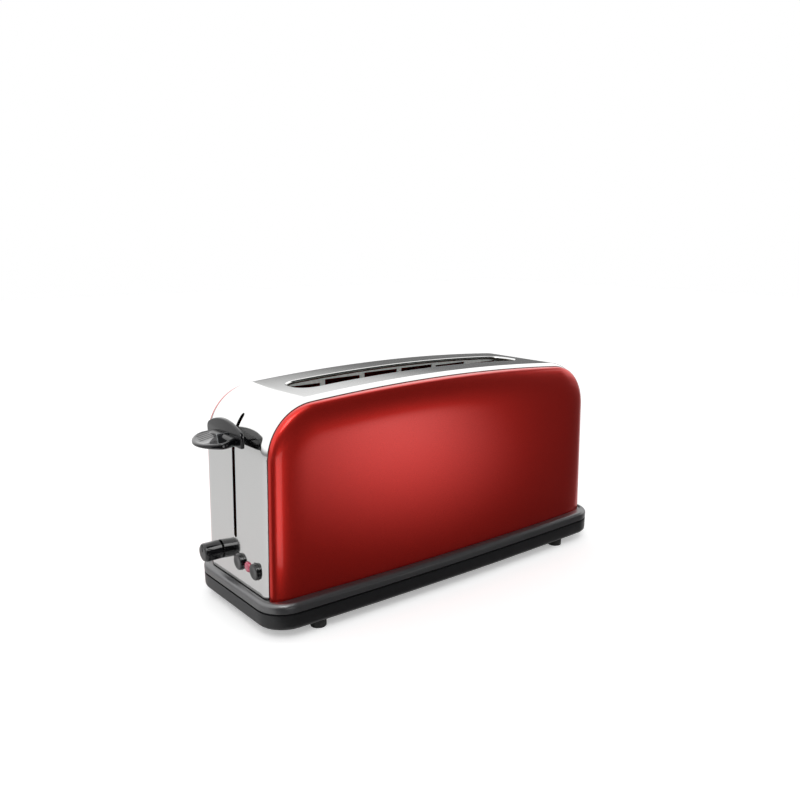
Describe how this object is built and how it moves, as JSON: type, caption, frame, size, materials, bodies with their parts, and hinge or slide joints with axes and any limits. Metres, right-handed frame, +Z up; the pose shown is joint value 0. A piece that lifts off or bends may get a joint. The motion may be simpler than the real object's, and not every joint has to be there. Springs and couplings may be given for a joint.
{
  "type": "pop-up toaster",
  "caption": "Long-slot pop-up toaster: polished steel cover, crowned red side panels, two-tier black base, end lever, browning knob, push buttons and crumb tray.",
  "frame": {"origin": "on the table under the middle of the whole toaster's box, lever included", "axes": "+X along the toaster away from the lever's end, +Y to the rear side, +Z up"},
  "size_m": [0.422, 0.1518, 0.2],
  "materials": {
    "black_base": "moulded satin black",
    "rubber": "matt",
    "polished_steel": "polished stainless sheet",
    "red_paint": "metallic gloss red",
    "inner_steel": "bright sheet",
    "mica": "mica board",
    "heating_wire": "resistance ribbon",
    "black_gloss": "gloss black",
    "plain_plastic": "plain moulded",
    "spring_steel": "drawn wire",
    "copper": "enamelled winding",
    "board": "laminate",
    "lens": "tinted clear",
    "zinc": "zinc plated"
  },
  "bodies": {
    "housing": {"base_lower": "black_base", "base_upper": "black_base", "feet": "rubber", "base_screws": "zinc", "cord_gland": "rubber", "steel_cover": "polished_steel", "slot_lip": "polished_steel", "front_panel": "red_paint", "rear_panel": "red_paint", "reflector_front": "inner_steel", "reflector_rear": "inner_steel", "mica_front": "mica", "mica_rear": "mica", "winding_front": "heating_wire", "winding_rear": "heating_wire", "chassis_lever_end": "inner_steel", "chassis_far_end": "inner_steel", "guide_rod": "spring_steel", "rod_bridge": "inner_steel", "stop_pad": "rubber", "magnet_core": "inner_steel", "magnet_coil": "copper", "lamp_lens": "lens", "lamp_bulb": "plain_plastic", "control_board": "board", "control_carrier": "black_base", "browning_dial": "plain_plastic", "button_switches": "black_base", "board_components": "black_base", "terminal_block": "plain_plastic"},
    "carriage": {"bread_rack": "inner_steel", "carriage_plate": "inner_steel", "slider_block": "plain_plastic", "lever_arm": "inner_steel", "lever_knob": "black_gloss", "carriage_spring": "spring_steel", "keeper_plate": "inner_steel"},
    "front_guide": {"guide_front": "inner_steel"},
    "rear_guide": {"guide_rear": "inner_steel"},
    "knob": {"browning_knob": "black_gloss", "knob_shaft": "plain_plastic"},
    "cancel": {"button_cancel": "black_gloss"},
    "defrost": {"button_defrost": "black_gloss"},
    "tray": {"crumb_tray": "inner_steel"}
  },
  "joints": [
    {"name": "lever_slide", "type": "slide", "parent": "housing", "child": "carriage", "axis": [0, 0, 1], "range_m": [-0.08, 0.012], "stiffness_N_per_m": 60, "springref_m": 0.015, "deforming": ["carriage_spring"]},
    {"name": "front_guide_tilt", "type": "hinge", "parent": "housing", "child": "front_guide", "pos_m": [0.011, -0.019, 0.044], "axis": [1, 0, 0], "range_deg": [-4.3, 0.9]},
    {"name": "rear_guide_tilt", "type": "hinge", "parent": "housing", "child": "rear_guide", "pos_m": [0.011, 0.019, 0.044], "axis": [1, 0, 0], "range_deg": [-0.9, 4.3]},
    {"name": "browning_turn", "type": "hinge", "parent": "housing", "child": "knob", "pos_m": [-0.188, 0.031, 0.052], "axis": [-1, 0, 0], "range_deg": [-140, 140]},
    {"name": "cancel_press", "type": "slide", "parent": "housing", "child": "cancel", "axis": [1, 0, 0], "range_m": [0, 0.002], "stiffness_N_per_m": 400, "springref_m": -0.001},
    {"name": "defrost_press", "type": "slide", "parent": "housing", "child": "defrost", "axis": [1, 0, 0], "range_m": [0, 0.002], "stiffness_N_per_m": 400, "springref_m": -0.001},
    {"name": "tray_slide", "type": "slide", "parent": "housing", "child": "tray", "axis": [1, 0, 0], "range_m": [0, 0.2]}
  ],
  "couplings": [
    {"joint": "front_guide_tilt", "follows": "lever_slide", "rad_per_m": 0.8727},
    {"joint": "rear_guide_tilt", "follows": "lever_slide", "rad_per_m": -0.8727}
  ]
}
